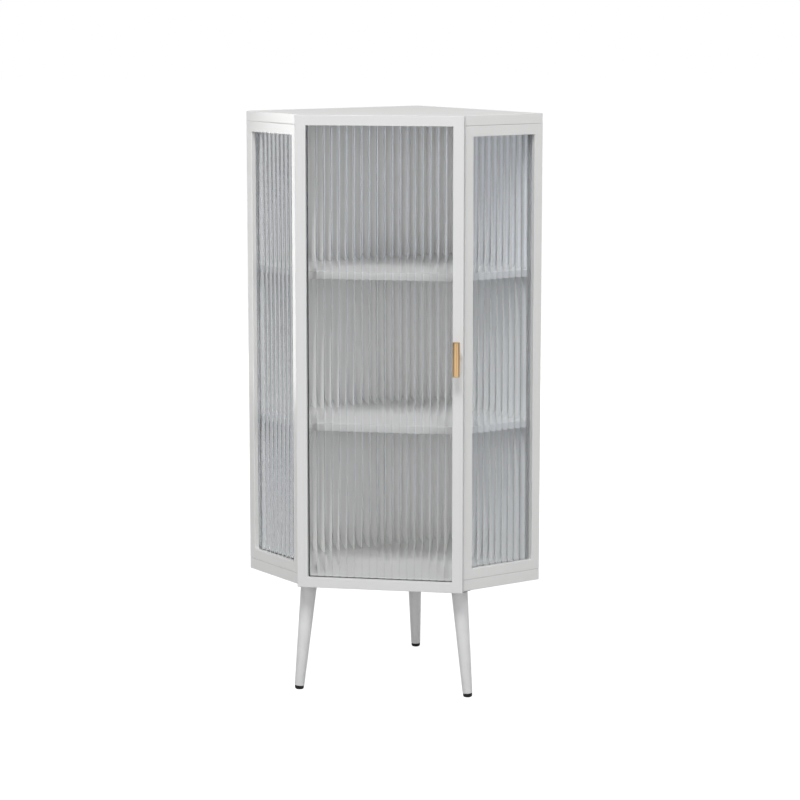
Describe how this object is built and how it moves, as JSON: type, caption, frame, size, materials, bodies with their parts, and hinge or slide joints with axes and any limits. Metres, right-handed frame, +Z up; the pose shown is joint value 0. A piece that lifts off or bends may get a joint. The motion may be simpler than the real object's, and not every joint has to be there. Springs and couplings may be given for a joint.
{
  "type": "corner cabinet",
  "caption": "Tall five-sided corner cabinet on splayed legs, with a reeded glass door, reeded glass sides, shelves and a brass T-bar handle.",
  "frame": {"origin": "on the floor, under the middle of the whole cabinet's box, handle included", "axes": "+Z up, the door faces -Y and the right-angled back corner points to +Y; +X is to the right of someone facing the door"},
  "size_m": [0.6462, 0.5184, 1.25],
  "materials": {
    "white_lacquer": "satin white lacquer on fibreboard",
    "white_leg_lacquer": "satin white lacquer on turned beech",
    "reeded_glass": "clear, reeded on the outer face",
    "glazing_bead": "white extruded plastic",
    "satin_brass": "satin, lightly brushed",
    "nickel_steel": "nickel plated steel",
    "zinc_steel": "bright zinc plated steel",
    "white_steel": "white powder coat",
    "magnet_nickel": "nickel plated magnet",
    "clear_rubber": "clear soft bumper",
    "black_glide": "black moulded plastic"
  },
  "bodies": {
    "cabinet": {"top_board": "white_lacquer", "bottom_board": "white_lacquer", "left_side_frame": "white_lacquer", "right_side_frame": "white_lacquer", "left_back_panel": "white_lacquer", "right_back_panel": "white_lacquer", "lower_shelf": "white_lacquer", "upper_shelf": "white_lacquer", "front_left_leg": "white_leg_lacquer", "front_left_leg_plate": "zinc_steel", "front_left_leg_bolt": "zinc_steel", "front_left_foot_glide": "black_glide", "front_right_leg": "white_leg_lacquer", "front_right_leg_plate": "zinc_steel", "front_right_leg_bolt": "zinc_steel", "front_right_foot_glide": "black_glide", "back_leg": "white_leg_lacquer", "back_leg_plate": "zinc_steel", "back_leg_bolt": "zinc_steel", "back_foot_glide": "black_glide", "left_side_glass": "reeded_glass", "right_side_glass": "reeded_glass", "left_side_glass_bead": "glazing_bead", "right_side_glass_bead": "glazing_bead", "lower_shelf_pin_left_front": "nickel_steel", "lower_shelf_pin_left_shoulder": "nickel_steel", "lower_shelf_pin_left_corner": "nickel_steel", "lower_shelf_pin_right_front": "nickel_steel", "lower_shelf_pin_right_shoulder": "nickel_steel", "lower_shelf_pin_right_corner": "nickel_steel", "upper_shelf_pin_left_front": "nickel_steel", "upper_shelf_pin_left_shoulder": "nickel_steel", "upper_shelf_pin_left_corner": "nickel_steel", "upper_shelf_pin_right_front": "nickel_steel", "upper_shelf_pin_right_shoulder": "nickel_steel", "upper_shelf_pin_right_corner": "nickel_steel", "lower_hinge_frame_leaf": "white_steel", "lower_hinge_pin": "white_steel", "middle_hinge_frame_leaf": "white_steel", "middle_hinge_pin": "white_steel", "upper_hinge_frame_leaf": "white_steel", "upper_hinge_pin": "white_steel", "lower_catch_magnet": "magnet_nickel", "lower_door_bumper": "clear_rubber", "upper_catch_magnet": "magnet_nickel", "upper_door_bumper": "clear_rubber"},
    "door": {"door_frame": "white_lacquer", "door_glass": "reeded_glass", "door_glass_bead": "glazing_bead", "door_handle": "satin_brass", "handle_screw": "zinc_steel", "lower_catch_plate": "zinc_steel", "upper_catch_plate": "zinc_steel", "lower_hinge_door_leaf": "white_steel", "middle_hinge_door_leaf": "white_steel", "upper_hinge_door_leaf": "white_steel"}
  },
  "joints": [
    {"name": "door_swing", "type": "hinge", "parent": "cabinet", "child": "door", "pos_m": [-0.1826, -0.20854, 0.7435], "axis": [0, 0, -1], "range_deg": [0, 145]}
  ]
}
